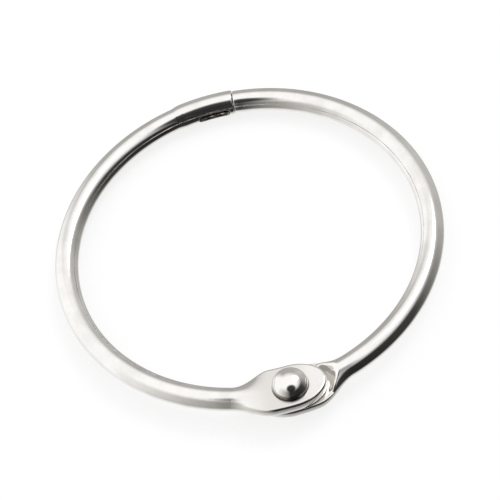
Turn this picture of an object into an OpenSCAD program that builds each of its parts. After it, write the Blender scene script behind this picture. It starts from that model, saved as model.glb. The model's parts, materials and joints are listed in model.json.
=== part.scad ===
// Hinged binder ring of plated wire. Two half rings turn on a domed rivet, and they close
// where a beaded nib enters a slotted socket.
// The ring lies in the XY plane, with its centre at the origin, its hinge on -Y and its
// closure on +Y. The rivet stands along Z.

/* [Ring] */
// Inside diameter of the closed ring
inside_d = 30; // [24:1:60]
// Diameter of the wire
wire_d = 2; // [1.8:0.1:2.2]

/* [Hinge] */
// Width of the flattened eye round the rivet
eye_d = 4.3; // [3.8:0.1:4.8]
// Thickness of each of the two eyes
eye_t = 0.8; // [0.6:0.05:0.85]
// Length of an eye's oval nose, from the rivet's axis to its tip
nose_l = 3.1; // [2.4:0.1:3.4]
// Radius of the coined edge of an eye
eye_edge = 0.2; // [0.05:0.05:0.3]
// Length over which the wire widens into its eye, measured from the rivet's axis
flare_l = 5.2; // [4.8:0.2:7]
// Space between the nose of an eye and the shoulder that it turns past
shoulder_gap = 0.15; // [0.1:0.05:0.3]
// Length of the slope that rises from the shoulder's foot to the full wire
shoulder_l = 1; // [0.4:0.1:1.4]

/* [Rivet] */
// Diameter of the rivet's shank
shank_d = 1.5; // [1.2:0.1:1.8]
// Diameter of each domed head
head_d = 3.1; // [2.4:0.1:3.4]
// Height of each domed head
head_h = 1.3; // [0.6:0.05:1.3]

/* [Closure] */
// How much thicker the barrel that holds the socket is than the wire
barrel_swell = 0.2; // [0.2:0.1:0.8]
// Length of the barrel, half of it on each side of the point opposite the hinge
barrel_l = 4.6; // [4.4:0.2:7]
// Diameter of the bore inside the barrel
socket_d = 1.44; // [1.4:0.02:1.5]
// Diameter of the beads on the nib
bead_d = 1.2; // [1:0.05:1.2]
// Diameter of the nib's neck between the beads
neck_d = 0.84; // [0.6:0.04:0.9]
// Distance from one bead to the next
bead_pitch = 1; // [0.9:0.05:1.05]
// Width of the slot that shows the beads
slot_w = 0.7; // [0.4:0.1:0.9]

/* [Fits] */
// Space left between parts that slide or turn on each other
play = 0.04; // [0.02:0.01:0.08]

/* [Hidden] */
$fn = 64;

wire_r = wire_d / 2;
ring_r = (inside_d + wire_d) / 2;
degree_l = ring_r * PI / 180;

hinge_deg = 270;
mouth_deg = 90 - barrel_l / 2 / degree_l;
barrel_deg = 90 + barrel_l / 2 / degree_l;

eye_r = eye_d / 2;
eye_low = play / 2;
eye_top = eye_low + eye_t;
pocket_r = nose_l + shoulder_gap;
straight_l = head_d / 2;
nose_steps = 10;
flare_steps = 18;
corner_steps = 7;

barrel_d = wire_d + barrel_swell;
beads = 3;
first_bead_l = 0.9;
lip_edge = 0.15;
end_edge = 0.12;
taper_l = 0.9;
slot_l = bead_pitch * beads;
socket_l = slot_l + first_bead_l;

// Where two shapes merge, one reaches this far into the other
lap = 0.05;
// and stands proud of it, or back from it, by this little
skin = 0.005;

// ---- Shared shapes ----

// A round rod bent along the ring, from one angle to another
module bent_rod(d, from_deg, to_deg) {
    rotate_extrude(start = from_deg, angle = to_deg - from_deg)
        translate([ring_r, 0])
            circle(d = d);
}

// Puts its child on the ring's centre line, with its Z along the wire towards larger angles
module on_ring(deg) {
    rotate([0, 0, deg])
        translate([ring_r, 0, 0])
            rotate([-90, 0, 0])
                children();
}

// A disc with its lower rim rounded, to finish the end of a rod
module rounded_end(d, edge) {
    rotate_extrude() {
        square([d / 2 - edge, edge + lap]);
        translate([0, edge])
            square([d / 2, lap]);
        intersection() {
            translate([d / 2 - edge, edge])
                circle(edge);
            square([d / 2, edge]);
        }
    }
}

// ---- The hinge end of a half ring ----
// It is drawn for the half whose eye lies on top. The other half is the same shape
// turned half round about Y. A section is a loop of points [along, across, up]: along
// the ring's centre line from the rivet, outwards across it, and up from the ring's plane.

// How far the coined edge is in and down, at each point from the foot of the wall to the top
edge_insets = concat([[0, eye_t]], [
    for (i = [1:corner_steps])
        let (deg = 90 * (i - 1) / (corner_steps - 1))
        eye_edge * [1 - cos(deg), 1 - sin(deg)]
]);

// Both sides of a section, from one of them
function both_sides(side) = concat(side, [
    for (i = [len(side) - 1:-1:0]) [side[i][0], -side[i][1], side[i][2]]
]);

// A section of the oval nose: 90 degrees at its tip, 0 where it meets the rivet's axis
function nose_section(deg) = both_sides([
    for (inset = edge_insets)
        [-(nose_l - inset[0]) * sin(deg), (eye_r - inset[0]) * cos(deg), eye_top - inset[1]]
]);

// A section of the flare, part of the way from the flat eye to the round wire
function flare_section(part) =
    let (blend = (1 - cos(180 * part)) / 2)
    let (along = straight_l + (flare_l - straight_l) * part)
    let (reach = (wire_r + skin) / cos(45 / corner_steps))
    both_sides([
        for (i = [0:corner_steps])
            let (flat = [eye_r - edge_insets[i][0], eye_top - edge_insets[i][1]])
            let (deg = 90 * i / (corner_steps + 1 / 2))
            let (round = [reach * cos(deg), max(reach * sin(deg), eye_low)])
            concat([along], (1 - blend) * flat + blend * round)
    ]);

// The flattened eye and its flare, lofted from the tip of the nose to the round wire
module eye() {
    sections = concat(
        [for (i = [0.5:nose_steps]) nose_section(90 * (1 - i / nose_steps))],
        [nose_section(0)],
        [for (i = [0:flare_steps]) flare_section(i / flare_steps)]
    );
    count = len(sections[0]);
    last = len(sections) - 1;
    points = [
        for (section = sections)
            for (p = section)
                let (deg = hinge_deg - p[0] / degree_l)
                [(ring_r + p[1]) * cos(deg), (ring_r + p[1]) * sin(deg), p[2]]
    ];
    walls = [
        for (k = [0:last - 1])
            for (i = [0:count - 1])
                let (j = (i + 1) % count)
                let (a = k * count + i, b = k * count + j, c = a + count, d = b + count)
                for (face = [[a, d, b], [a, c, d]]) face
    ];
    nose_end = [
        for (i = [0:count / 2 - 2])
            [i, i + 1, count - 2 - i, count - 1 - i]
    ];
    wire_end = [for (i = [count - 1:-1:0]) last * count + i];
    polyhedron(points = points, faces = concat(walls, nose_end, [wire_end]));
}

// A half ring's wire, cut away for its own eye and hollowed for the other half's
module pressed_wire(end_deg) {
    cut_z = eye_low + eye_t / 8;
    depth = wire_d + cut_z;
    slope = shoulder_l / wire_r;
    flare_deg = hinge_deg - flare_l / degree_l;
    difference() {
        bent_rod(wire_d, end_deg, hinge_deg);
        rotate_extrude(start = flare_deg + 1, angle = hinge_deg - flare_deg)
            translate([ring_r - wire_d, cut_z])
                square(2 * wire_d);
        translate([0, -ring_r, -wire_d])
            cylinder(r1 = pocket_r + slope * wire_d, r2 = pocket_r - slope * cut_z, h = depth);
    }
}

// A half ring from its bored eye to the end of its plain wire
module half_ring(end_deg, hole_d) {
    difference() {
        union() {
            pressed_wire(end_deg);
            eye();
        }
        translate([0, -ring_r, 0])
            cylinder(d = hole_d, h = 2 * wire_d, center = true);
    }
}

// ---- The closure ----

// The swollen barrel, with a rounded lip at its mouth and a taper back to the wire
module barrel() {
    lip_deg = mouth_deg + lip_edge / degree_l;
    on_ring(lip_deg)
        translate([0, 0, -lip_edge])
            rounded_end(barrel_d - skin, lip_edge);
    bent_rod(barrel_d, lip_deg, barrel_deg);
    on_ring(barrel_deg)
        translate([0, 0, -lap])
            cylinder(d1 = barrel_d - skin, d2 = wire_d - lap, h = taper_l);
}

// The blind hole for the nib, with a countersunk mouth
module socket_bore() {
    sink = barrel_d / 20;
    bent_rod(socket_d, mouth_deg - 2, mouth_deg + socket_l / degree_l);
    on_ring(mouth_deg)
        translate([0, 0, -lap])
            cylinder(r1 = socket_d / 2 + sink + lap, r2 = socket_d / 2 - lap, h = sink + 2 * lap);
}

// The slot along the barrel's inner side, with round ends
module slot() {
    near_deg = mouth_deg + (first_bead_l - bead_pitch / 2 + slot_w / 2) / degree_l;
    far_deg = near_deg + (slot_l - slot_w) / degree_l;
    rotate_extrude(start = near_deg, angle = far_deg - near_deg)
        translate([ring_r - barrel_d, -slot_w / 2])
            square([barrel_d, slot_w]);
    for (deg = [near_deg, far_deg])
        rotate([0, 0, deg])
            translate([ring_r - barrel_d - lap, 0, 0])
                rotate([0, 90, 0])
                    cylinder(d = slot_w, h = barrel_d);
}

// The neck and beads that the socket holds
module nib() {
    last_l = first_bead_l + (beads - 1) * bead_pitch;
    bent_rod(neck_d, mouth_deg - 2, mouth_deg + last_l / degree_l);
    for (i = [0:beads - 1])
        on_ring(mouth_deg + (first_bead_l + i * bead_pitch) / degree_l)
            sphere(d = bead_d);
}

// ---- Nodes ----

module socket_half() {
    color("gainsboro")
        difference() {
            union() {
                half_ring(barrel_deg - 1, shank_d);
                barrel();
            }
            socket_bore();
            slot();
        }
}

module nib_half() {
    rim_deg = mouth_deg - (play + end_edge) / degree_l;
    color("silver") {
        rotate([0, 180, 0])
            half_ring(180 - rim_deg, shank_d + 2 * play);
        on_ring(rim_deg)
            translate([0, 0, end_edge])
                mirror([0, 0, 1])
                    rounded_end(wire_d - skin, end_edge);
        nib();
    }
}

module hinge_rivet() {
    dome_r = (head_d * head_d / 4 + head_h * head_h) / (2 * head_h);
    color("lightgray")
        translate([0, -ring_r, 0]) {
            translate([0, 0, -eye_top - play])
                cylinder(d = shank_d, h = 2 * eye_top + play);
            for (side = [0, 1])
                mirror([0, 0, side])
                    translate([0, 0, eye_top + side * play])
                        intersection() {
                            translate([0, 0, head_h - dome_r])
                                sphere(dome_r);
                            cylinder(d = head_d + 1, h = 2 * head_h);
                        }
        }
}

socket_half();
nib_half();
hinge_rivet();
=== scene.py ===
# %% [markdown]
# # A hinged binder ring
# Two half rings of plated wire turn on a domed rivet. Each half is one piece of wire: one end
# is pressed flat into an eye for the hinge, and the other makes half of the closure, where a
# nib with three beads snaps into a slotted socket.
#
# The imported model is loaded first. It fixes every size and place, and the finer meshes made
# here stand where its nodes stand.

# %% Load the frame
import json
from math import atan2, cos, degrees, hypot, pi, radians, sin, sqrt

import bmesh
import bpy
from mathutils import Matrix, Vector


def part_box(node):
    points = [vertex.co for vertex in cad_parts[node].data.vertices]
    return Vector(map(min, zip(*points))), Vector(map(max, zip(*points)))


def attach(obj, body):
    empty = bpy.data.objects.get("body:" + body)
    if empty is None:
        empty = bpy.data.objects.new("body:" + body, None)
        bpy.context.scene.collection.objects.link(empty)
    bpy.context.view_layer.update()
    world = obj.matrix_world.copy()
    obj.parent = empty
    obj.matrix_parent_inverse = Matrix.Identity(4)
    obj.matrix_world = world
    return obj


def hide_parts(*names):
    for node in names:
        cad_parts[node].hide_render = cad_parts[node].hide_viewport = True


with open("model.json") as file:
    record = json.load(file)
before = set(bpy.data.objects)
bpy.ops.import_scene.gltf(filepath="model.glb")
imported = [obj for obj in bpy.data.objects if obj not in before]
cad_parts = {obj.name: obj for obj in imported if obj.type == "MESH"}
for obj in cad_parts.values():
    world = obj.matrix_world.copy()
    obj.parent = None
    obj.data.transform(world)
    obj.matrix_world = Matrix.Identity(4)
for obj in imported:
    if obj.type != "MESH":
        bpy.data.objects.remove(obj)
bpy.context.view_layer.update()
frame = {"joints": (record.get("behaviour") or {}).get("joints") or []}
scene = bpy.context.scene

# %% [markdown]
# ## Sizes
# Blender works in metres, but a ring is easier to think of in millimetres, so the shapes are
# worked out in millimetres and multiplied by `MM` when a mesh is made. What the frame can
# tell is read from it: the hinge's place, and how far the pieces reach. The other sizes are
# the part's own, and each is named where it is first needed.

# %% Sizes of the ring
MM = 0.001


def node_box(name):
    """The lowest and highest corner of a CAD node, in millimetres."""
    low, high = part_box(name)
    return low / MM, high / MM


hinge = frame["joints"][0]
RING_R = -hinge["pos_m"][1] / MM
_, nib_high = node_box("nib_half")
socket_low, socket_high = node_box("socket_half")
rivet_low, rivet_high = node_box("hinge_rivet")
WIRE_R = nib_high.x - RING_R
BARREL_R = socket_high.y - RING_R
EYE_R = -socket_low.y - RING_R
HEAD_R = (rivet_high.x - rivet_low.x) / 2
PLAY = 0.04
print(f"ring radius {RING_R:.2f} mm, wire radius {WIRE_R:.2f}, barrel radius {BARREL_R:.2f}")
print(f"eye radius {EYE_R:.2f} mm, rivet head radius {HEAD_R:.2f}")

# %% [markdown]
# ## The wire as a run of loops
# A wire that changes its section along its length could be a curve with a bevel, but a
# bevel keeps one outline from end to end. Here the wire is a run of closed loops, each a
# list of points (along, across, up): along the ring's centre line from the rivet, outwards
# across it, and up from the ring's plane. Joining each loop to the next with quads gives a
# mesh whose edges run along and round the wire, which is what makes a mirror finish smooth.
#
# A loop has four quarters of the same number of steps. It starts on the outer side, goes
# over the top to the inner side, and comes back underneath.

# %% Points round a loop
QUARTER = 32
LOOP = 4 * QUARTER
TURNS = [2 * pi * i / LOOP for i in range(LOOP)]


def mix(a, b, part):
    """The value part of the way from a to b."""
    return a + (b - a) * part


def ease(part):
    """A smooth step from 0 to 1."""
    part = min(max(part, 0.0), 1.0)
    return (1 - cos(pi * part)) / 2


def spread(start, end, steps):
    """Evenly spaced values from start to end, both included."""
    return [mix(start, end, i / steps) for i in range(steps + 1)]


def bend(point):
    """A point of the straight wire, bent round the ring with its hinge on -Y."""
    along, across, up = point
    angle = -pi / 2 - along / RING_R
    reach = RING_R + across
    return Vector((reach * cos(angle), reach * sin(angle), up))


def whole_loop(upper, lower):
    """A closed loop from its outer upper and outer lower quarters, foot to centre line."""
    inner_upper = [(a, -c, u) for a, c, u in reversed(upper[:-1])]
    inner_lower = [(a, -c, u) for a, c, u in lower[1:]]
    outer_lower = [(a, c, u) for a, c, u in reversed(lower[1:-1])]
    return upper + inner_upper + inner_lower + outer_lower


print("points in a loop:", LOOP)

# %% [markdown]
# ## The pressed eye
# A press flattens the wire's end to less than half its thickness, so the two halves lie one
# on the other without making the hinge thicker. The metal that is pushed aside makes an oval
# eye with a soft edge, and a flare where the flat turns back into round wire.
#
# A box with a bevel would give a flat end too, but not one that flows into the wire. So a
# quarter of a section is described by its insets: how far each point lies in from the eye's
# outline, and how high it is. Bending those insets round the oval gives the nose. Mixing
# them with a quarter circle gives the flare.

# %% Quarters of the flat eye
EYE_T = 0.8
EYE_LOW = PLAY / 2
EYE_TOP = EYE_LOW + EYE_T
EYE_EDGE = 0.2
LOWER_EDGE = 0.05
WALL_STEPS = 2
CORNER_STEPS = 8
LOWER_CORNER_STEPS = 2


def edge_arc(radius, steps):
    """How far in, and how far short of the face, each point of a rounded edge is."""
    return [(radius * (1 - cos(t)), radius * (1 - sin(t))) for t in spread(0, pi / 2, steps)]


def to_middle(points, edge, height):
    """Adds the flat face, from the end of a rounded edge to the eye's middle."""
    steps = QUARTER + 1 - len(points)
    return points + [(inset, height) for inset in spread(edge, EYE_R, steps)[1:]]


def upper_quarter():
    """(inset, height) of the points from the foot of the wall to the middle of the top."""
    wall = spread(EYE_LOW + LOWER_EDGE, EYE_TOP - EYE_EDGE, WALL_STEPS)[:-1]
    points = [(0.0, up) for up in wall]
    points += [(inset, EYE_TOP - drop) for inset, drop in edge_arc(EYE_EDGE, CORNER_STEPS)]
    return to_middle(points, EYE_EDGE, EYE_TOP)


def lower_quarter():
    """The same for the points from the foot of the wall to the middle of the underside."""
    arc = edge_arc(LOWER_EDGE, LOWER_CORNER_STEPS)
    return to_middle([(inset, EYE_LOW + rise) for inset, rise in arc], LOWER_EDGE, EYE_LOW)


UPPER, LOWER = upper_quarter(), lower_quarter()
print("points in the upper quarter:", len(UPPER), "in the lower quarter:", len(LOWER))

# %% [markdown]
# ## The nose of the eye
# The far end of the eye is an oval nose. A cap with a pole would crowd thin triangles on its
# edge, where a mirror finish shows them. The loops of this nose fan round the rivet instead,
# like the pages of a book. In the first one the outer and the inner points meet on the centre
# line, and they are welded later.

# %% Loops of the nose
NOSE_L = 3.1
NOSE_STEPS = 24


def nose_quarter(quarter, turn):
    """A quarter's points on the oval nose: a quarter turn at its tip, 0 at the rivet."""
    return [
        (-(NOSE_L - inset) * sin(turn), (EYE_R - inset) * cos(turn), up) for inset, up in quarter
    ]


nose = [
    whole_loop(nose_quarter(UPPER, turn), nose_quarter(LOWER, turn))
    for turn in spread(pi / 2, 0.0, NOSE_STEPS)
]
print("loops in the nose:", len(nose))

# %% [markdown]
# ## The shoulder
# Under the flare, the wire has its full thickness again from the shoulder on: a sloped step,
# round the rivet, that the other half's nose turns past. Cutting it with a cone would leave
# sharp edges, and a pressed edge is never sharp: it has to be round to show a highlight. So
# each lower point is only as deep as the slope allows, and `soft_min` rounds the slope's
# foot and the edge where it meets the wire.
#
# Wide open, the outer corner of this step would meet the other half. It is trimmed along a
# line that leans out from the rivet. The lines of both halves would meet at `STOP_TURN`.

# %% Depth of the slope
POCKET_R = NOSE_L + 0.15
SHOULDER_SLOPE = 1.0
FOOT_SOFT = 0.15
STOP_TURN = 137
STOP_LEAN = radians(180 - STOP_TURN) / 2
STOP_STEEP = 1.0


def soft_min(a, b, soft):
    """The smaller of a and b, rounded where they cross."""
    part = min(max(0.5 + (b - a) / (2 * soft), 0.0), 1.0)
    return mix(b, a, part) - soft * part * (1 - part)


def slope_depth(along, across):
    """How deep the wire may be under a point, for the shoulder's slope and its trimmed corner."""
    x, y, _ = bend((along, across, 0))
    beyond = (hypot(x, y + RING_R) - POCKET_R) / SHOULDER_SLOPE
    beside = (y + RING_R) * cos(STOP_LEAN) - x * sin(STOP_LEAN)
    room = soft_min(beyond, beside * STOP_STEEP, FOOT_SOFT)
    return -soft_min(-room, 0.0, FOOT_SOFT)


print(f"the shoulder's foot is {POCKET_R:.2f} mm from the rivet's axis")

# %% [markdown]
# ## The flare
# The section turns from flat to round with an eased step, so neither end shows a crease.
# On its lower side the flare is a thin flange beside the round wire: a power of the cosine
# keeps the flange thin at its edge and lets it run into the wire in a hollow curve.
#
# The loops are closest where the shoulder is, since it has the finest shape.

# %% Loops of the flare
FLARE_L = 5.2
FLAT_L = HEAD_R
SHOULDER_SOFT = 0.2
FLANGE_POWER = 4
FLAT_STEPS = 4
# (where a stretch ends, in millimetres from the rivet, and how many steps it takes)
FLARE_STRETCHES = ((2.6, 12), (4.4, 44), (FLARE_L, 8))


def section(along):
    """The loop that crosses the centre line some millimetres beyond the rivet."""
    blend = ease((along - FLAT_L) / (FLARE_L - FLAT_L))
    flange_blend = ease((along - EYE_R) / FLAT_L)
    width = mix(EYE_R, WIRE_R, blend)
    upper, lower = [], []
    for turn, (inset, up), (low_inset, low_up) in zip(spread(0, pi / 2, QUARTER), UPPER, LOWER):
        across = mix(EYE_R - inset, WIRE_R * cos(turn), blend)
        upper.append((along, across, mix(up, WIRE_R * sin(turn), blend)))
        flange = WIRE_R * cos(turn) + (width - WIRE_R) * cos(turn) ** FLANGE_POWER
        across = mix(width * (1 - low_inset / EYE_R), flange, flange_blend)
        foot = mix(low_up, 0.0, blend)
        depth = soft_min(slope_depth(along, across), foot + WIRE_R * sin(turn), SHOULDER_SOFT)
        lower.append((along, across, foot - max(depth, 0.0)))
    return whole_loop(upper, lower)


flare_places = spread(0.0, FLAT_L, FLAT_STEPS)[1:]
for end, steps in FLARE_STRETCHES:
    flare_places += spread(flare_places[-1], end, steps)[1:]
hinge_end = nose + [section(along) for along in flare_places]
print("loops in the hinge end:", len(hinge_end))

# %% [markdown]
# ## The plain wire
# Between its two ends a half ring is plain round wire. From here on a loop is only a place:
# how far along the ring it is, and its radius, as on a potter's wheel. Steps of less than
# half a millimetre keep the bend smooth.

# %% Places along the plain wire
WIRE_STEP = 0.4
BARREL_L = 4.6
HALF_TURN_L = pi * RING_R
MOUTH_L = HALF_TURN_L + BARREL_L / 2
RIM_L = HALF_TURN_L - BARREL_L / 2 - PLAY


def wire_places(end):
    """(along, radius) of the plain wire, from the flare to a place near its end."""
    steps = round((end - FLARE_L) / WIRE_STEP)
    return [(along, WIRE_R) for along in spread(FLARE_L, end, steps)[1:]]


print(f"the socket's mouth is {MOUTH_L:.2f} mm along, and the nib's rim {RIM_L:.2f} mm")

# %% [markdown]
# ## The barrel
# The socket half ends in a barrel that is a little thicker than the wire, with a rounded
# lip. A tube with no inside would look like a plug as soon as the ring opens. Because the
# loops can turn back at the lip and run down inside the bore, the barrel is one skin with a
# real wall.
#
# The rows that will carry the slot are the same outside and inside. They are kept in
# `patch_rows`, with the number of the first one on each side.

# %% Outside of the barrel
BEADS = 3
BEAD_PITCH = 1.0
FIRST_BEAD_L = 0.9
TAPER_L = 0.9
TAPER_STEPS = 12
PLAIN_STEPS = 4
PATCH_STEPS = 20
LIP_EDGE = 0.15
LIP_STEPS = 10

slot_half = BEADS * BEAD_PITCH / 2
slot_middle = MOUTH_L - FIRST_BEAD_L + BEAD_PITCH / 2 - slot_half
patch_rows = spread(slot_middle - slot_half - LIP_EDGE, MOUTH_L - LIP_EDGE, PATCH_STEPS)
barrel_start = MOUTH_L - BARREL_L

barrel = wire_places(barrel_start - TAPER_L)
for part in spread(0, 1, TAPER_STEPS)[1:]:
    barrel.append((barrel_start - TAPER_L * (1 - part), mix(WIRE_R, BARREL_R, ease(part))))
barrel += [(along, BARREL_R) for along in spread(barrel_start, patch_rows[0], PLAIN_STEPS)[1:-1]]
first_outside = len(hinge_end) + len(barrel)
barrel += [(along, BARREL_R) for along in patch_rows]
barrel += [
    (MOUTH_L - short, BARREL_R - inset) for inset, short in edge_arc(LIP_EDGE, LIP_STEPS)[1:]
]
print(f"{len(barrel)} loops up to the lip; the slot's middle is at {slot_middle:.2f} mm")

# %% [markdown]
# ## The bore
# The bore is blind, and its mouth has a small countersink, which helps the nib in. Its edges
# get a second loop close by, because smooth shading needs one on each side of an edge. The
# bottom is flat with a rounded corner, and two more loops keep its faces from being long
# and thin.

# %% Inside of the barrel
BORE_R = 0.72
BORE_L = FIRST_BEAD_L + BEADS * BEAD_PITCH
BORE_EDGE = 0.15
BORE_EDGE_STEPS = 5
SINK = BARREL_R / 10
SINK_EDGE = 0.01
SINK_RUN = 0.03
BOTTOM_LOOPS = (0.5, 0.25)

barrel += [(MOUTH_L - SINK_EDGE, BORE_R + SINK), (MOUTH_L - SINK, BORE_R + SINK_EDGE)]
barrel += [(MOUTH_L - SINK - SINK_RUN, BORE_R)]
first_inside = len(hinge_end) + len(barrel)
barrel += [(along, BORE_R) for along in reversed(patch_rows)]
bottom = MOUTH_L - BORE_L
barrel += [
    (bottom + short, BORE_R - inset) for inset, short in edge_arc(BORE_EDGE, BORE_EDGE_STEPS)
]
barrel += [(bottom, BORE_R * part) for part in BOTTOM_LOOPS]
print(f"{len(barrel)} loops in the wire, the barrel and its bore")

# %% [markdown]
# ## The nib
# The other half ends in the nib: a neck with three beads, turned on the end of the wire.
# Three balls pushed into a rod would leave sharp creases. Here the outline is the larger of
# the neck and each ball, rounded where they meet, and the last ball closes the end.

# %% Loops of the nib
BEAD_R = 0.6
NECK_R = 0.42
BEAD_SOFT = 0.06
BEAD_STEPS = 24
RIM_EDGE = 0.12
RIM_STEPS = 8
FACE_PART = 0.6
NECK_FILLET = 0.12
FILLET_MIDDLE = 0.04


def bead_radius(along, middle):
    """The nib's radius near the middle of a bead: the ball, or the neck beside it."""
    ball = sqrt(max(BEAD_R ** 2 - (along - middle) ** 2, 0.0))
    return -soft_min(-NECK_R, -ball, BEAD_SOFT)


nib = wire_places(RIM_L - RIM_EDGE)
nib += [(RIM_L - short, WIRE_R - inset) for inset, short in edge_arc(RIM_EDGE, RIM_STEPS)[1:]]
nib += [(RIM_L, mix(WIRE_R, NECK_R, FACE_PART)), (RIM_L, NECK_R + NECK_FILLET)]
nib += [(RIM_L + FILLET_MIDDLE, NECK_R + FILLET_MIDDLE), (RIM_L + NECK_FILLET, NECK_R)]

bead_half = BEAD_PITCH / 2
bead_middles = [RIM_L + PLAY + FIRST_BEAD_L + BEAD_PITCH * i for i in range(BEADS)]
end_bead = bead_middles[-1]
for middle in bead_middles[:-1]:
    places = spread(middle - bead_half, middle + bead_half, BEAD_STEPS)[:-1]
    nib += [(along, bead_radius(along, middle)) for along in places]
places = spread(end_bead - bead_half, end_bead, BEAD_STEPS // 2)
nib += [(along, bead_radius(along, end_bead)) for along in places]
for turn in spread(0, pi / 2, BEAD_STEPS // 2)[1:-1]:
    nib.append((end_bead + BEAD_R * sin(turn), BEAD_R * cos(turn)))
print("loops in the wire and nib:", len(nib))

# %% [markdown]
# ## From loops to a mesh
# `bmesh` builds the mesh face by face. Each point also keeps its place on the straight wire,
# before the bend, in a layer named `straight`. The finish uses it, so that drawing lines
# follow the wire round the ring as real ones do. UV coordinates could do the same, but they
# need a seam, and a noise that crosses a seam shows it.
#
# A window of faces can be left open for the slot, on the inner side of the barrel.

# %% A skin over loops
WINDOW_HALF = 14
WINDOW = range(LOOP // 2 - WINDOW_HALF, LOOP // 2 + WINDOW_HALF)


def new_skin():
    """An empty mesh under construction, and its layer of places on the straight wire."""
    bm = bmesh.new()
    return bm, bm.verts.layers.float_vector.new("straight")


def add_point(bm, straight, point, place=bend):
    """A vertex at a bent point, which remembers where it was on the straight wire."""
    vert = bm.verts.new(place(point) * MM)
    vert[straight] = Vector(point)
    return vert


def join_rows(bm, first, second, left_open=()):
    """Quads between two closed rows of vertices. Some columns may stay open."""
    count = len(first)
    for i in range(count):
        if i in left_open:
            continue
        j = (i + 1) % count
        bm.faces.new((first[i], first[j], second[j], second[i]))


def close_row(bm, row, middle):
    """A fan of triangles from a closed row to one vertex."""
    for i, vert in enumerate(row):
        bm.faces.new((vert, row[(i + 1) % len(row)], middle))


def cover(loops, end_along, window_rows=()):
    """A skin over all loops, closed at the far end, with the window open in some rows."""
    bm, straight = new_skin()
    rows = [[add_point(bm, straight, point) for point in loop] for loop in loops]
    for k, (row, after) in enumerate(zip(rows, rows[1:])):
        join_rows(bm, row, after, WINDOW if k in window_rows else ())
    close_row(bm, rows[-1], add_point(bm, straight, (end_along, 0.0, 0.0)))
    return bm, straight, rows


print("faces left open across the window:", len(WINDOW))

# %% [markdown]
# ## The slot
# Cutting a slot through a thin round wall with a boolean leaves a sharp rim with ragged
# shading. Here rings of vertices run from the window's square outline to the slot's
# round-ended outline, over a rounded rim, through the wall, and back out to the window in
# the bore.
#
# First, where the slot's outline is, and what a point over the barrel's inner side is.

# %% Outline of the slot
SLOT_W = 0.7


def window_outline():
    """(row, column) of the points round the window, in order."""
    low, high = WINDOW[0], WINDOW[-1] + 1
    last_row = len(patch_rows) - 1
    points = [(0, column) for column in range(low, high)]
    points += [(row, high) for row in range(last_row)]
    points += [(last_row, column) for column in range(high, low, -1)]
    return points + [(row, low) for row in range(last_row, 0, -1)]


def slot_ray(along, up):
    """The point of the slot's outline that faces a point, and the way out from there."""
    straight_half = slot_half - SLOT_W / 2
    middle = min(max(along - slot_middle, -straight_half), straight_half)
    out = Vector((along - slot_middle - middle, up)).normalized()
    return Vector((slot_middle + middle, 0)) + out * SLOT_W / 2, out


def on_skin(radius, spot, sunk=0.0):
    """A point over the inner side of a round skin, sunk by some depth towards its middle."""
    along, up = spot
    return (along, -sqrt(radius ** 2 - up ** 2) + sunk, up)


window_points = window_outline()
print("points round the window:", len(window_points))

# %% [markdown]
# Each point of the window starts one line, which runs over the outer skin to the slot, over
# the rim, through the wall and over the bore's skin back to the window. Side by side, the
# lines make the rings.

# %% Rings through the slot
SLOT_EDGE = 0.06
SPREAD_STEPS = 3
SLOT_RIM_STEPS = 4


def slot_side(radius, start, foot, out, way):
    """The part of a line on one skin: from the window to the slot, and over its rim."""
    near = foot + out * SLOT_EDGE
    flat = [on_skin(radius, start.lerp(near, s / SPREAD_STEPS)) for s in range(1, SPREAD_STEPS)]
    rim = [
        on_skin(radius, foot + out * short, way * inset)
        for inset, short in edge_arc(SLOT_EDGE, SLOT_RIM_STEPS)
    ]
    return flat + rim


def slot_line(row, column):
    """The points of one line through the slot's wall, from outside to the bore."""
    outer, inner = [
        Vector((patch_rows[row], radius * sin(TURNS[column]))) for radius in (BARREL_R, BORE_R)
    ]
    foot, out = slot_ray(*outer)
    outside = slot_side(BARREL_R, outer, foot, out, 1)
    inside = slot_side(BORE_R, inner, foot, out, -1)
    return outside + inside[::-1]


def fill_slot(bm, straight, rows):
    """Joins the window in the barrel to the window in the bore, through the slot."""
    last_row = len(patch_rows) - 1
    outside = [rows[first_outside + row][column] for row, column in window_points]
    inside = [rows[first_inside + last_row - row][column] for row, column in window_points]
    lines = [
        [add_point(bm, straight, point) for point in slot_line(row, column)]
        for row, column in window_points
    ]
    rings = [outside] + [list(ring) for ring in zip(*lines)] + [inside]
    for ring, after in zip(rings, rings[1:]):
        join_rows(bm, ring, after)
    print(len(rings), "rings of", len(window_points), "points round the slot")


print("slot", slot_half * 2, "mm long and", SLOT_W, "mm wide, rim rounded by", SLOT_EDGE)

# %% [markdown]
# ## From a skin to a piece
# A finished skin becomes an object. Nothing is moved or scaled: the points are already where
# the ring is.

# %% Finish a mesh as a piece
WELD = 0.0005


def finish_piece(bm, name, body, node):
    """Turns a skin into an object that stands for a CAD node and rides on its body."""
    bmesh.ops.remove_doubles(bm, verts=bm.verts, dist=WELD * MM)
    bmesh.ops.recalc_face_normals(bm, faces=bm.faces)
    mesh = bpy.data.meshes.new(name)
    bm.to_mesh(mesh)
    bm.free()
    mesh.shade_smooth()
    piece = bpy.data.objects.new(name, mesh)
    scene.collection.objects.link(piece)
    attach(piece, body)
    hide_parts(node)
    print(f"{name}: {len(mesh.vertices)} vertices, {len(mesh.polygons)} faces")
    return piece


print("points closer than", WELD, "mm are welded")

# %% [markdown]
# ## Turned shapes
# The rivet and the hole for it are round about one axis, so both are made of rings round
# that axis. A cylinder from Blender's menu would do for the hole, but the same rings serve
# the rivet's domes as well.

# %% Rings on the rivet's axis
SHANK_R = 0.75


def on_axis(point):
    """A point of a turned shape, moved to the rivet's axis."""
    return Vector(point) + Vector((0, -RING_R, 0))


def turned_ring(bm, straight, radius, height):
    """A ring of vertices round the rivet's axis."""
    return [
        add_point(bm, straight, (radius * cos(t), radius * sin(t), height), on_axis)
        for t in TURNS
    ]


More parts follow.
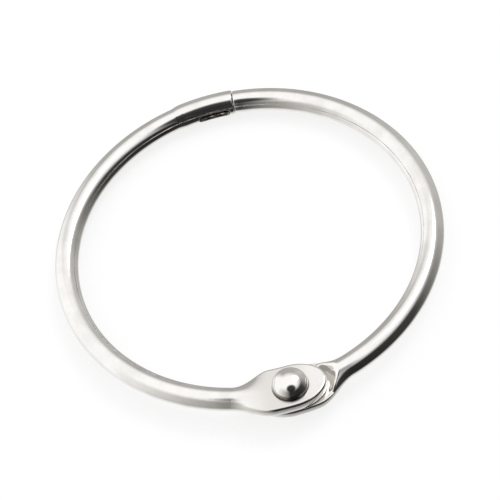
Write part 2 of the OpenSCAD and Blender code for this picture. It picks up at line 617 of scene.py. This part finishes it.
print("the rivet's shank is", 2 * SHANK_R, "mm thick")

# %% [markdown]
# ## The hole for the rivet
# A hole through a flat eye can be modelled ring by ring, as the slot is, or cut with a
# boolean. Its edge is hidden under the head, so the boolean is good enough here. It is
# applied at once, so that the piece keeps a plain mesh.

# %% Bore an eye
SHARP = radians(50)


def make_drill(radius):
    """A rod through both eyes, on the rivet's axis."""
    bm, straight = new_skin()
    rings = [turned_ring(bm, straight, radius, height) for height in (-WIRE_R, 2 * WIRE_R)]
    join_rows(bm, *rings)
    for ring in rings:
        bm.faces.new(ring)
    bmesh.ops.recalc_face_normals(bm, faces=bm.faces)
    drill = bpy.data.objects.new("drill", bpy.data.meshes.new("drill"))
    bm.to_mesh(drill.data)
    bm.free()
    scene.collection.objects.link(drill)
    return drill


def bore_eye(piece, radius):
    """Cuts the rivet's hole through the eye."""
    drill = make_drill(radius)
    hole = piece.modifiers.new("rivet hole", "BOOLEAN")
    hole.operation = "DIFFERENCE"
    hole.object = drill
    hole.solver = "EXACT"
    depsgraph = bpy.context.evaluated_depsgraph_get()
    cut = bpy.data.meshes.new_from_object(piece.evaluated_get(depsgraph))
    piece.modifiers.clear()
    piece.data = cut
    cut.set_sharp_from_angle(angle=SHARP)
    bpy.data.objects.remove(drill)
    print(f"{piece.name}: eye bored, now {len(cut.vertices)} vertices")


print(f"edges of more than {degrees(SHARP):.0f} degrees stay sharp")

# %% [markdown]
# ## The two halves
# Both halves are the same hinge end and the same wire with their own ends, as on the real
# ring. Mirroring one half in X would put both eyes at the same height. So the nib half is
# turned half round about Y, and its eye lies underneath.
#
# The rivet is tight in the socket half's hole and has some play in the nib half's.

# %% Make the two halves
def round_loops(places):
    """A circle round the wire's centre line at each place (along, radius)."""
    return [[(along, radius * cos(t), radius * sin(t)) for t in TURNS] for along, radius in places]


socket_bm, straight, rows = cover(
    hinge_end + round_loops(barrel),
    bottom,
    [first + row for first in (first_outside, first_inside) for row in range(PATCH_STEPS)],
)
fill_slot(socket_bm, straight, rows)
socket_piece = finish_piece(
    socket_bm, "wire_half_with_socket", "socket_side", "socket_half"
)
bore_eye(socket_piece, SHANK_R)

nib_bm, _, _ = cover(hinge_end + round_loops(nib), end_bead + BEAD_R)
bmesh.ops.rotate(nib_bm, verts=nib_bm.verts, matrix=Matrix.Rotation(pi, 3, "Y"))
nib_piece = finish_piece(nib_bm, "wire_half_with_nib", "nib_side", "nib_half")
bore_eye(nib_piece, SHANK_R + PLAY)

# %% [markdown]
# ## The rivet
# A rivet is turned, so its skin is a stack of rings round its own axis: a domed head, the
# shank that fills the eyes, and a second dome. A ball cut flat would be close, but a snap
# die leaves a dome that is a little fuller. So its outline is an oval whose power is a bit
# more than 2, with even steps of its angle. Its foot is rolled under, which leaves a fine
# dark line round the head, made deeper by painted shade in the nickel.

# %% Rivet profile and skin
HEAD_H = rivet_high.z - EYE_TOP
DOME_STEPS = 28
DOME_POWER = 2.06
FOOT_ROLL = 0.1
FOOT_STEPS = 6


def head_profile(base):
    """(radius, height) from the top of a dome to the shank, with the head on its base."""
    waist = base + FOOT_ROLL
    points = []
    for turn in spread(0, pi / 2, DOME_STEPS)[1:]:
        out = sin(turn) ** (2 / DOME_POWER)
        up = max(cos(turn), 0.0) ** (2 / DOME_POWER)
        points.append((HEAD_R * out, waist + (HEAD_H - FOOT_ROLL) * up))
    for turn in spread(0, pi / 2, FOOT_STEPS)[1:]:
        points.append((HEAD_R - FOOT_ROLL * (1 - cos(turn)), waist - FOOT_ROLL * sin(turn)))
    return points + [(SHANK_R, base)]


def rivet_skin(upper_base, lower_base):
    """Two domed heads and the shank between them, as one skin."""
    upper = head_profile(upper_base)
    lower = [(radius, -height) for radius, height in head_profile(lower_base)]
    bm, straight = new_skin()
    stack = [turned_ring(bm, straight, *spot) for spot in upper + lower[::-1]]
    for row, after in zip(stack, stack[1:]):
        join_rows(bm, row, after)
    for row, top in ((stack[0], upper_base + HEAD_H), (stack[-1], -lower_base - HEAD_H)):
        close_row(bm, row, add_point(bm, straight, (0.0, 0.0, top), on_axis))
    return bm


rivet_piece = finish_piece(
    rivet_skin(EYE_TOP, EYE_TOP + PLAY), "domed_rivet", "socket_side", "hinge_rivet"
)
rivet_piece.data.set_sharp_from_angle(angle=SHARP)
print(f"rivet heads {2 * HEAD_R:.2f} mm wide and {HEAD_H:.2f} mm high")

# %% [markdown]
# ## Bright nickel
# Nickel plating is a mirror with a faint warm grey of its own. What keeps it from looking
# like a computer's mirror is fine: lines from the drawing die along the wire, a slight haze
# that makes some places a little duller, and a surface that isn't perfectly true.
#
# The wire and the rivet share these effects, so each effect is a node group with its own
# named sockets. A group only puts out a value that changes over the surface. What is the
# same everywhere, such as the metal's full metalness, is set on the shader itself.

# %% Helpers for nodes
FLOAT, VECTOR = "NodeSocketFloat", "NodeSocketVector"


def new_group(name, inputs, output):
    """An empty shader group with the given (name, kind, value) inputs and one value out."""
    group = bpy.data.node_groups.new(name, "ShaderNodeTree")
    for socket, kind, value in inputs:
        made = group.interface.new_socket(socket, in_out="INPUT", socket_type=kind)
        if value is not None:
            made.default_value = value
    group.interface.new_socket(output, in_out="OUTPUT", socket_type=FLOAT)
    return group, group.nodes.new("NodeGroupInput"), group.nodes.new("NodeGroupOutput")


def add_node(tree, kind, values=(), **settings):
    """A node with its settings, and with the given input sockets filled or linked."""
    node = tree.nodes.new(kind)
    for key, value in settings.items():
        setattr(node, key, value)
    for key, value in dict(values).items():
        if isinstance(value, bpy.types.NodeSocket):
            tree.links.new(value, node.inputs[key])
        else:
            node.inputs[key].default_value = value
    return node


def math_node(tree, operation, a, b=0.0):
    """The result of one sum. Each side may be a number or a socket."""
    return add_node(tree, "ShaderNodeMath", {0: a, 1: b}, operation=operation).outputs[0]


def remap(tree, value, low, high, to_low=0.0, to_high=1.0):
    """A smooth step of a value from one span to another."""
    sockets = {
        "Value": value, "From Min": low, "From Max": high, "To Min": to_low, "To Max": to_high,
    }
    node = add_node(tree, "ShaderNodeMapRange", sockets, interpolation_type="SMOOTHSTEP")
    return node.outputs["Result"]


print("helpers ready: groups have inputs of kind", FLOAT, "or", VECTOR)

# %% [markdown]
# ## Lines, haze and pits
# Drawing lines are noise that is stretched a long way in one direction. `Place` is where the
# surface point is, in millimetres, and `Stretch` says how much finer the noise is across the
# lines than along them. The haze is broad, soft noise. The pits are small dots, where the
# ring has knocked against others in its box.

# %% Groups for the surface
def line_group():
    """Fine lines along the wire, from 0 to 1."""
    group, take, give = new_group(
        "Drawn lines", [("Place", VECTOR, None), ("Stretch", VECTOR, (0.1, 9.0, 9.0))], "Lines"
    )
    place = add_node(
        group, "ShaderNodeVectorMath", {0: take.outputs["Place"], 1: take.outputs["Stretch"]},
        operation="MULTIPLY",
    ).outputs[0]
    noise = add_node(
        group, "ShaderNodeTexNoise",
        {"Vector": place, "Scale": 1.0, "Detail": 4.0, "Roughness": 0.65},
    )
    group.links.new(remap(group, noise.outputs["Fac"], 0.3, 0.7), give.inputs["Lines"])
    return group


def haze_group():
    """Soft clouds of slightly duller metal, from 0 to 1."""
    group, take, give = new_group(
        "Haze", [("Place", VECTOR, None), ("Scale", FLOAT, 0.6)], "Haze"
    )
    noise = add_node(
        group, "ShaderNodeTexNoise",
        {
            "Vector": take.outputs["Place"], "Scale": take.outputs["Scale"],
            "Detail": 5.0, "Roughness": 0.6,
        },
    )
    group.links.new(remap(group, noise.outputs["Fac"], 0.35, 0.7), give.inputs["Haze"])
    return group


def dent_group():
    """Scattered pits: 1 in the middle of each, and 0 between them."""
    pit_reach = 0.16
    group, take, give = new_group(
        "Dents", [("Place", VECTOR, None), ("Scale", FLOAT, 1.6)], "Dents"
    )
    cells = add_node(
        group, "ShaderNodeTexVoronoi",
        {"Vector": take.outputs["Place"], "Scale": take.outputs["Scale"], "Randomness": 1.0},
    )
    near = remap(group, cells.outputs["Distance"], 0.0, pit_reach, 1.0, 0.0)
    group.links.new(near, give.inputs["Dents"])
    return group


drawn_lines, haze, dents = line_group(), haze_group(), dent_group()
print("node groups:", [group.name for group in (drawn_lines, haze, dents)])

# %% [markdown]
# ## Round the rivet
# The metal is darker on a ring of the head's radius: painted shade for the fine gap where the
# rivet's head meets the eye, with the dirt that gathers there. And the press leaves its own
# surface: where it has squeezed the wire, the metal is duller, most of all beside the rivet. Both
# could be painted by hand, but measured from the rivet's axis they stay right if a size changes.

# %% Groups for the hinge
NOSE_FROM = -2.6
NOSE_TO = 0.4
NOSE_LEFT = 0.15


def crevice_shade_group():
    """Where shade is painted: 1 on a line round the rivet's axis, at a given radius."""
    group, take, give = new_group(
        "Crevice painted shade",
        [("Place", VECTOR, None), ("Radius", FLOAT, 1.0), ("Width", FLOAT, 0.1)],
        "Crevice painted shade",
    )
    flat = add_node(
        group, "ShaderNodeVectorMath", {0: take.outputs["Place"], 1: (1, 1, 0)},
        operation="MULTIPLY",
    ).outputs[0]
    reach = add_node(group, "ShaderNodeVectorMath", {0: flat}, operation="LENGTH").outputs["Value"]
    off = math_node(group, "ABSOLUTE", math_node(group, "SUBTRACT", reach, take.outputs["Radius"]))
    near = remap(group, off, 0.0, take.outputs["Width"], 1.0, 0.0)
    group.links.new(near, give.inputs["Crevice painted shade"])
    return group


def pressed_group():
    """How far the press has dulled a wire: most beside the rivet, less on its nose."""
    group, take, give = new_group(
        "Pressed end",
        [("Place", VECTOR, None), ("From", FLOAT, 2.0), ("To", FLOAT, 4.0)],
        "Pressed",
    )
    along = add_node(group, "ShaderNodeSeparateXYZ", {0: take.outputs["Place"]}).outputs["X"]
    fade = remap(group, along, take.outputs["From"], take.outputs["To"], 1.0, 0.0)
    rise = remap(group, along, NOSE_FROM, NOSE_TO, NOSE_LEFT, 1.0)
    group.links.new(math_node(group, "MULTIPLY", fade, rise), give.inputs["Pressed"])
    return group


crevice_shade, pressed_end = crevice_shade_group(), pressed_group()
print("node groups:", [group.name for group in (crevice_shade, pressed_end)])

# %% [markdown]
# ## Effects in a material
# A group is placed in a material as one node, which takes the surface point and its own
# values. What it puts out then mixes colours or sets the roughness. The point comes from the
# layer `straight`, through an attribute node.

# %% Helpers for materials
def use_group(tree, group, place, **values):
    """Places a group in a material with its own values, and gives what it puts out."""
    node = add_node(tree, "ShaderNodeGroup", node_tree=group)
    tree.links.new(place, node.inputs["Place"])
    for key, value in values.items():
        node.inputs[key].default_value = value
    return node.outputs[0]


def shade(tree, part, first, second):
    """A colour part of the way from one to another. Each may be a colour or a socket."""
    node = add_node(tree, "ShaderNodeMix", {"Factor": part}, data_type="RGBA")
    for socket, colour in (("A", first), ("B", second)):
        if isinstance(colour, bpy.types.NodeSocket):
            tree.links.new(colour, node.inputs[socket])
        else:
            node.inputs[socket].default_value = (*colour, 1)
    return node.outputs["Result"]


print("helpers ready: groups are placed by the layer straight")

# %% [markdown]
# ## Plating
# One function makes both nickels. The haze mixes a bright and a dull shade and, with the
# lines, sets the roughness. The same lines and the pits, a few thousandths of a millimetre
# deep, make the bump. Two separate materials would be easier to start with, but a change to
# one would then be missed in the other.

# %% Nickel plating
BRIGHT = (0.79, 0.775, 0.75)
MATT_SHADE = (0.66, 0.64, 0.615)
# the painted shade of the gap round the rivet's head, darkest on the head's radius
CREVICE_PAINTED_SHADE = (0.2, 0.18, 0.16)
CREVICE_WIDTH = 0.09
HAZE_SHARE = 0.6
LINE_SHARE = 0.4
LINE_DEPTH = 0.35


def plated(name, dull, smooth, rough, stretch, bump_mm, pressed=None):
    """Polished plating: its colour and roughness follow the haze and the drawn lines."""
    material = bpy.data.materials.new(name)
    material.use_nodes = True
    tree = material.node_tree
    shader = tree.nodes["Principled BSDF"]
    shader.inputs["Metallic"].default_value = 1.0
    place = add_node(tree, "ShaderNodeAttribute", attribute_name="straight").outputs["Vector"]
    lines = use_group(tree, drawn_lines, place, Stretch=stretch)
    cloud = use_group(tree, haze, place)
    pits = use_group(tree, dents, place)
    # where the painted shade of the gap round the rivet's head goes
    crevice_shade_mask = use_group(tree, crevice_shade, place, Radius=HEAD_R, Width=CREVICE_WIDTH)

    colour = shade(tree, cloud, BRIGHT, dull)
    hazed = math_node(tree, "MULTIPLY", cloud, HAZE_SHARE)
    lined = math_node(tree, "MULTIPLY", lines, LINE_SHARE)
    roughness = remap(tree, math_node(tree, "ADD", hazed, lined), 0.0, 1.0, smooth, rough)
    if pressed:
        matt = use_group(tree, pressed_end, place)
        colour = shade(tree, matt, colour, MATT_SHADE)
        roughness = math_node(tree, "ADD", roughness, math_node(tree, "MULTIPLY", matt, pressed))
    # the painted shade round the rivet's head darkens the colour there
    colour = shade(tree, crevice_shade_mask, colour, CREVICE_PAINTED_SHADE)
    height = math_node(tree, "SUBTRACT", math_node(tree, "MULTIPLY", lines, LINE_DEPTH), pits)
    bump = add_node(
        tree, "ShaderNodeBump", {"Height": height, "Strength": 1.0, "Distance": bump_mm * MM}
    )
    tree.links.new(colour, shader.inputs["Base Color"])
    tree.links.new(roughness, shader.inputs["Roughness"])
    tree.links.new(bump.outputs["Normal"], shader.inputs["Normal"])
    return material


print("the brightest nickel is", BRIGHT)

# %% [markdown]
# ## The two nickels
# The wire is drawn, so its lines run along it, and it is a little rougher. The rivet is
# struck, so its finest marks go every way, and it is smoother.

# %% Wire and rivet
wire_nickel = plated(
    "nickel_wire", dull=(0.72, 0.705, 0.68), smooth=0.06, rough=0.16,
    stretch=(0.12, 9.0, 9.0), bump_mm=0.003, pressed=0.07,
)
rivet_nickel = plated(
    "nickel_rivet", dull=(0.73, 0.715, 0.69), smooth=0.05, rough=0.13,
    stretch=(3.0, 3.0, 3.0), bump_mm=0.002,
)
for piece, material in (
    (socket_piece, wire_nickel), (nib_piece, wire_nickel), (rivet_piece, rivet_nickel)
):
    piece.data.materials.clear()
    piece.data.materials.append(material)
    print(piece.name, "is", material.name)

# %% [markdown]
# ## Camera
# A long lens from a little distance keeps the ring's shape nearly free of perspective. The
# camera looks along +Y and down, a little from the left, and it is rolled, so the ring's
# width runs uphill. `to_track_quat` turns it towards the ring, which is simpler than a
# constraint and leaves nothing to be worked out later.

# %% Camera
AZIMUTH = -1.2
ELEVATION = 52.8
ROLL = 15.0
DISTANCE = 0.36
LENS = 300
AIM = (0, -0.0005, 0)

camera = bpy.data.objects.new("camera", bpy.data.cameras.new("camera"))
camera.data.lens = LENS
camera.data.clip_start = 0.01
camera.data.clip_end = 10
scene.collection.objects.link(camera)
back = Vector((0, -cos(radians(ELEVATION)), sin(radians(ELEVATION))))
back.rotate(Matrix.Rotation(radians(AZIMUTH), 3, "Z"))
camera.location = Vector(AIM) + back * DISTANCE
camera.rotation_mode = "QUATERNION"
upright = back.to_track_quat("Z", "Y")
camera.rotation_quaternion = upright @ Matrix.Rotation(-radians(ROLL), 3, "Z").to_quaternion()
scene.camera = camera
print("camera", [round(v, 3) for v in camera.location])

# %% [markdown]
# ## Floor
# The ring rests on its lower rivet head and on the barrel, which don't reach equally far
# down. So the floor is tilted to touch both, and the ring's frame stays level.

# %% Floor
FLOOR_SIZE = 2.0
FLOOR_GAP = 0.01

hinge_foot = Vector((0, -RING_R, rivet_low.z - FLOOR_GAP))
barrel_foot = Vector((0, RING_R, -BARREL_R - FLOOR_GAP))
tilt = atan2(barrel_foot.z - hinge_foot.z, barrel_foot.y - hinge_foot.y)

bm = bmesh.new()
bmesh.ops.create_grid(bm, x_segments=4, y_segments=4, size=FLOOR_SIZE)
floor_mesh = bpy.data.meshes.new("floor")
bm.to_mesh(floor_mesh)
bm.free()
floor = bpy.data.objects.new("floor", floor_mesh)
floor.location = (hinge_foot + barrel_foot) / 2 * MM
floor.rotation_euler = (tilt, 0, 0)
scene.collection.objects.link(floor)
print(f"floor tilted by {degrees(tilt):.2f} degrees")

# %% [markdown]
# ## Paper
# The floor is plain paper. Under a soft light that doesn't burn out the ring, white paper
# would be grey, so to the camera it also glows, just enough to be white. It still takes the
# ring's shadow. From below it isn't there, so the underside can be looked at.
#
# The metal doesn't see the floor itself: it would hide the lower half of the surroundings,
# and much of the wire mirrors that half. The world, made next, stands for it in reflections.

# %% Paper material
PAPER = (0.36, 0.36, 0.36)
GLOW = 0.735

floor.visible_glossy = False
paper = bpy.data.materials.new("paper")
paper.use_nodes = True
tree = paper.node_tree
tree.nodes.clear()
rays = tree.nodes.new("ShaderNodeLightPath")
glow_seen = math_node(tree, "MULTIPLY", rays.outputs["Is Camera Ray"], GLOW)
matt = add_node(tree, "ShaderNodeBsdfDiffuse", {"Color": (*PAPER, 1)})
glow = add_node(tree, "ShaderNodeEmission", {"Strength": glow_seen})
sheet = add_node(tree, "ShaderNodeAddShader", {0: matt.outputs[0], 1: glow.outputs[0]})
behind = tree.nodes.new("ShaderNodeNewGeometry").outputs["Backfacing"]
clear = tree.nodes.new("ShaderNodeBsdfTransparent")
one_sided = add_node(
    tree, "ShaderNodeMixShader", {0: behind, 1: sheet.outputs[0], 2: clear.outputs[0]}
)
out = tree.nodes.new("ShaderNodeOutputMaterial")
tree.links.new(one_sided.outputs[0], out.inputs["Surface"])
floor_mesh.materials.append(paper)
print("paper", PAPER[0], "with a glow of", GLOW)

# %% [markdown]
# ## Surroundings
# A mirror shows what stands round it, so the surroundings are most of its look. In a studio,
# white cards and dark flags are set up round such a ring. They could be objects here too, but
# each would have an edge and a place to keep right. Painted on the world, they are a few
# numbers.
#
# Round the horizon they change with the compass: dark in front and on the right, grey behind,
# white on the left. The wire bends these into thin dark and grey lines that run along it. The
# colour ramp holds the compass, from -180 to 180 degrees, and the darks are a little warm.

# %% Compass of bands
# (azimuth from +X in degrees, how much of the white is left near the horizon)
COMPASS = (
    (-180, 1.0), (-150, 0.62), (-125, 0.33), (-105, 0.03), (-60, 0.02), (-40, 0.03),
    (-18, 0.05), (0, 0.2), (25, 0.45), (50, 0.55), (70, 0.42), (105, 0.42), (125, 1.0),
    (180, 1.0),
)
WARMTH = (1.0, 0.97, 0.92)

world = bpy.data.worlds.new("studio")
scene.world = world
world.use_nodes = True
tree = world.node_tree
tree.nodes.clear()
way = tree.nodes.new("ShaderNodeTexCoord").outputs["Generated"]
axes = add_node(tree, "ShaderNodeSeparateXYZ", {0: way})
turned = math_node(tree, "ARCTAN2", axes.outputs["Y"], axes.outputs["X"])
share = math_node(tree, "ADD", math_node(tree, "DIVIDE", turned, 2 * pi), 0.5)
compass = add_node(tree, "ShaderNodeValToRGB", {"Fac": share})
stops = compass.color_ramp.elements
while len(stops) < len(COMPASS):
    stops.new(0.5)
for stop, (azimuth, left) in zip(stops, COMPASS):
    stop.position = azimuth / 360 + 0.5
    stop.color = (*[left * mix(tint, 1.0, left) for tint in WARMTH], 1)
print("bands round the horizon:", len(COMPASS))

# %% [markdown]
# The bands fade out towards the white overhead and towards the floor. A soft dark spot stands
# where the camera is, as the lens and whoever holds it would show. The white itself is
# strongest overhead, where the lamps would be, and near plain white on the floor's side.

# %% What the metal mirrors
# (elevations in degrees between which the bands fade)
BAND_TOP = (25, 62)
BAND_FOOT = (-38, -80)
SPOT_HALF = 24.0
SPOT_SOFT = 7.0
DARK = 0.04
WHITE_SEEN = 1.25
FLOOR_SEEN = 1.05
FLOOR_FROM = (-10, -40)
WHITE = (1.0, 1.0, 1.0)


def fades(full, none, low=0.0, high=1.0):
    """The higher value up to one elevation, and the lower value from another."""
    return remap(tree, axes.outputs["Z"], sin(radians(none)), sin(radians(full)), low, high)


rays = tree.nodes.new("ShaderNodeLightPath")
mirrored = rays.outputs["Is Glossy Ray"]
band = math_node(tree, "MULTIPLY", fades(*BAND_TOP), fades(*BAND_FOOT))
band_mirrored = math_node(tree, "MULTIPLY", band, mirrored)
surroundings = shade(tree, band_mirrored, WHITE, compass.outputs["Color"])
square_on = add_node(
    tree, "ShaderNodeVectorMath", {0: way, 1: tuple(back)}, operation="DOT_PRODUCT"
).outputs["Value"]
spot_edge = [cos(radians(SPOT_HALF + SPOT_SOFT * side)) for side in (1, -1)]
clear_of_spot = remap(tree, square_on, *spot_edge, 1.0, DARK)
white_level = fades(*FLOOR_FROM, FLOOR_SEEN, WHITE_SEEN)
level_mirrored = math_node(tree, "MULTIPLY", clear_of_spot, white_level)
print("white overhead counts", WHITE_SEEN, "in the metal, and", FLOOR_SEEN, "on the floor's side")

# %% [markdown]
# All this is only there for reflections. Everything else is lit by plain white, and to the
# camera the background is white too. `Is Glossy Ray` and `Is Camera Ray` tell which is
# which, so the background can be white without more light on the ring.

# %% World
WHITE_LIGHT = 0.68

strength = add_node(
    tree, "ShaderNodeMix", {"Factor": mirrored, 2: WHITE_LIGHT, 3: level_mirrored},
    data_type="FLOAT",
).outputs[0]
strength = math_node(tree, "MAXIMUM", strength, rays.outputs["Is Camera Ray"])
sky = add_node(tree, "ShaderNodeBackground", {"Color": surroundings, "Strength": strength})
out = tree.nodes.new("ShaderNodeOutputWorld")
tree.links.new(sky.outputs[0], out.inputs["Surface"])
print("plain light", WHITE_LIGHT)

# %% [markdown]
# ## Soft lamp
# White from every side gives almost no shadow, and a ring without one seems to float. One
# soft round lamp, high up behind on the right, gives the floor its faint shadow and the
# upper dome a small bright spot. A point lamp would be simpler, but its shadow would be hard.
#
# The view is set to Standard, so that colours stay as they are written.

# %% Soft lamp
def soft_lamp(name, azimuth, elevation, distance, size, power):
    """A round area lamp that faces the ring's middle."""
    lamp = bpy.data.objects.new(name, bpy.data.lights.new(name, "AREA"))
    lamp.data.shape = "DISK"
    lamp.data.size = size
    lamp.data.energy = power
    a, e = radians(azimuth), radians(elevation)
    away = Vector((cos(a) * cos(e), sin(a) * cos(e), sin(e)))
    lamp.location = away * distance
    lamp.rotation_mode = "QUATERNION"
    lamp.rotation_quaternion = away.to_track_quat("Z", "Y")
    scene.collection.objects.link(lamp)
    print(f"{name}: {power} W, {size} m wide, {distance} m away")


soft_lamp("back_lamp", azimuth=35, elevation=55, distance=1.0, size=0.5, power=1.6)
scene.view_settings.view_transform = "Standard"
